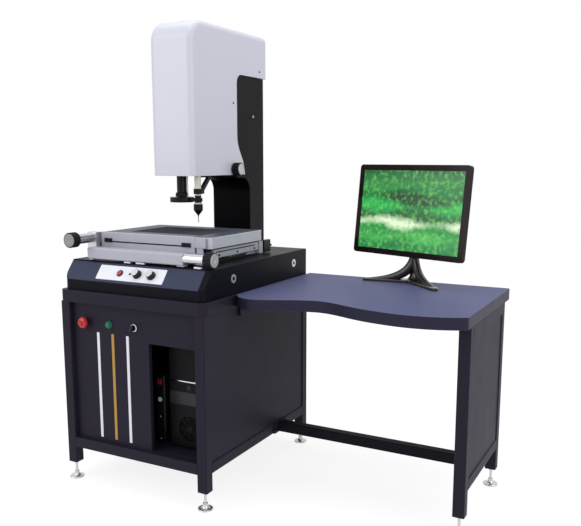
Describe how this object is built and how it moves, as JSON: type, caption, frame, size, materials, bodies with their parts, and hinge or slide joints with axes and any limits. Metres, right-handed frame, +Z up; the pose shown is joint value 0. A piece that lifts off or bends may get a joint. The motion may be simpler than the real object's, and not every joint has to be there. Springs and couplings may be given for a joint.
{
  "type": "profile projector",
  "caption": "Manual video measuring station: camera head and touch probe on a column over an X-Y glass stage, on a cabinet with a side desk and a monitor.",
  "frame": {"origin": "on the floor, under the middle of the station's bounding box", "axes": "+X to the operator's right, towards the desk; +Y from the operator to the rear; +Z up"},
  "size_m": [1.491, 0.8462, 1.722],
  "materials": {
    "cabinet_paint": "textured slate powder coat",
    "desk_paint": "painted fibreboard, satin slate blue",
    "granite_black": "black stone, satin",
    "cover_blue": "textured slate-blue paint",
    "head_paint": "light grey-lavender semi-gloss paint",
    "black_paint": "fine-textured black paint",
    "white_paint": "white satin paint",
    "steel": "ground steel",
    "chrome": "polished chrome",
    "stage_aluminium": "silver anodised",
    "glass": "clear float glass",
    "black_plastic": "matt black",
    "gloss_black": "glossy brown-black",
    "screen": "lit screen",
    "computer_grey": "grey sheet steel",
    "computer_plastic": "dark grey moulding",
    "red_plastic": "glossy red",
    "green_plastic": "glossy green",
    "white_plastic": "white trim",
    "cream_paint": "cream-grey anodised"
  },
  "bodies": {
    "station": {"cabinet_legs": "cabinet_paint", "cabinet_lower_rails": "cabinet_paint", "cabinet_top": "cabinet_paint", "cabinet_front_panel": "cabinet_paint", "cabinet_panels": "cabinet_paint", "foot_pads": "chrome", "foot_stems": "chrome", "trim_strips": "white_plastic", "control_bezels": "chrome", "computer_case": "computer_grey", "computer_front": "computer_plastic", "power_supply": "computer_grey", "stretcher_bar": "cabinet_paint", "desk_fittings": "cabinet_paint", "desk_top": "desk_paint", "desk_frame": "cabinet_paint", "machine_base": "granite_black", "lifting_sockets": "steel", "base_front_cover": "black_paint", "control_plate": "white_paint", "panel_fittings": "chrome", "y_guide_rails": "steel", "y_scale_cover": "black_paint", "contour_light": "black_plastic", "column": "granite_black", "column_rear_cover": "black_paint", "head_cover": "head_paint", "head_brackets": "black_paint", "z_guide_rails": "steel", "monitor_stand": "gloss_black"},
    "y_carriage": {"y_carriage": "stage_aluminium", "front_beam": "stage_aluminium", "x_scale_housing": "stage_aluminium", "x_guide_rails": "steel", "drive_tubes": "steel"},
    "x_stage": {"x_guide_blocks": "steel", "x_stage": "stage_aluminium", "stage_glass": "glass"},
    "x_handwheel": {"x_handwheel": "black_plastic"},
    "y_handwheel": {"y_handwheel": "black_plastic"},
    "z_handwheel": {"z_handwheel": "black_plastic"},
    "z_carriage": {"z_carriage": "stage_aluminium", "lens_bracket": "stage_aluminium", "camera": "black_paint", "zoom_lens": "black_paint", "ring_light": "black_plastic", "probe_shank": "cream_paint", "probe_body": "black_plastic", "probe_clamp": "black_paint"},
    "zoom_ring": {"zoom_ring": "black_plastic"},
    "estop_head": {"estop_head": "red_plastic"},
    "start_button": {"start_button": "green_plastic"},
    "selector_handle": {"selector_handle": "black_plastic"},
    "computer_button": {"computer_button": "chrome"},
    "panel_button": {"panel_button": "red_plastic"},
    "left_light_knob": {"left_light_knob": "black_plastic"},
    "right_light_knob": {"right_light_knob": "black_plastic"},
    "monitor_panel": {"monitor_bezel": "gloss_black", "monitor_screen": "screen", "monitor_rear_cover": "gloss_black"}
  },
  "joints": [
    {"name": "y_slide", "type": "slide", "parent": "station", "child": "y_carriage", "axis": [0, 1, 0], "range_m": [-0.1, 0.1]},
    {"name": "x_slide", "type": "slide", "parent": "y_carriage", "child": "x_stage", "axis": [1, 0, 0], "range_m": [-0.15, 0.15]},
    {"name": "x_handwheel_turn", "type": "hinge", "parent": "y_carriage", "child": "x_handwheel", "pos_m": [-0.6885, -0.407, 0.923], "axis": [0, -1, 0], "range_deg": [-1081, 1081]},
    {"name": "y_handwheel_turn", "type": "hinge", "parent": "y_carriage", "child": "y_handwheel", "pos_m": [-0.1037, -0.332, 0.8755], "axis": [1, 0, 0], "range_deg": [-721, 721]},
    {"name": "z_slide", "type": "slide", "parent": "station", "child": "z_carriage", "axis": [0, 0, 1], "range_m": [-0.03, 0.15]},
    {"name": "z_handwheel_turn", "type": "hinge", "parent": "station", "child": "z_handwheel", "pos_m": [-0.2882, 0.148, 1.177], "axis": [1, 0, 0], "range_deg": [-181, 901]},
    {"name": "zoom_turn", "type": "hinge", "parent": "z_carriage", "child": "zoom_ring", "pos_m": [-0.4185, -0.076, 1.075], "axis": [0, 0, 1], "range_deg": [-90, 90]},
    {"name": "estop_push", "type": "slide", "parent": "station", "child": "estop_head", "axis": [0, 1, 0], "range_m": [0, 0.004], "stiffness_N_per_m": 900},
    {"name": "start_push", "type": "slide", "parent": "station", "child": "start_button", "axis": [0, 1, 0], "range_m": [0, 0.003], "stiffness_N_per_m": 500},
    {"name": "selector_turn", "type": "hinge", "parent": "station", "child": "selector_handle", "pos_m": [-0.4125, -0.392, 0.622], "axis": [0, -1, 0], "range_deg": [-45, 45]},
    {"name": "computer_button_push", "type": "slide", "parent": "station", "child": "computer_button", "axis": [0, 1, 0], "range_m": [0, 0.002], "stiffness_N_per_m": 400},
    {"name": "panel_button_push", "type": "slide", "parent": "station", "child": "panel_button", "axis": [0, 0.782, -0.6233], "range_m": [0, 0.002], "stiffness_N_per_m": 400},
    {"name": "left_light_knob_turn", "type": "hinge", "parent": "station", "child": "left_light_knob", "pos_m": [-0.401, -0.37545, 0.81098], "axis": [0, -0.782, 0.6233], "range_deg": [-140, 140]},
    {"name": "right_light_knob_turn", "type": "hinge", "parent": "station", "child": "right_light_knob", "pos_m": [-0.339, -0.37545, 0.81098], "axis": [0, -0.782, 0.6233], "range_deg": [-140, 140]},
    {"name": "monitor_tilt", "type": "hinge", "parent": "station", "child": "monitor_panel", "pos_m": [0.37662, 0.34752, 0.88966], "axis": [0.9444, -0.3289, 0], "range_deg": [-14, 11]}
  ],
  "couplings": [
    {"joint": "x_handwheel_turn", "follows": "x_slide", "rad_per_m": 125.66},
    {"joint": "y_handwheel_turn", "follows": "y_slide", "rad_per_m": 125.66},
    {"joint": "z_handwheel_turn", "follows": "z_slide", "rad_per_m": 104.72}
  ]
}
